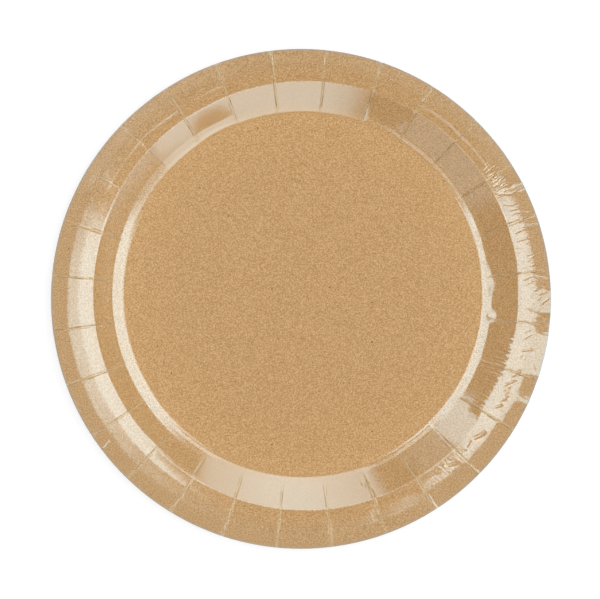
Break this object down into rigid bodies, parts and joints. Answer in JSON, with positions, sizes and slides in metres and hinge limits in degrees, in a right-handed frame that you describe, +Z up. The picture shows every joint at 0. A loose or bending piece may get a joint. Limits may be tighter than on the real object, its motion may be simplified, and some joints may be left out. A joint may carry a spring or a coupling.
{
  "type": "paper plate",
  "caption": "Round disposable kraft board plate with a flat well, a pleated wall and a wide flat rim, coated with a clear gloss film for serving food.",
  "frame": {"origin": "centre of the cut outline, on the surface that the plate rests on", "axes": "+Z up out of the well, +Y towards the narrower back of the rim, +X to the right"},
  "size_m": [0.23, 0.23, 0.0138],
  "materials": {
    "kraft_board": "gloss film on the top face, bare board below"
  },
  "bodies": {
    "root": {"plate": "kraft_board"}
  },
  "joints": []
}
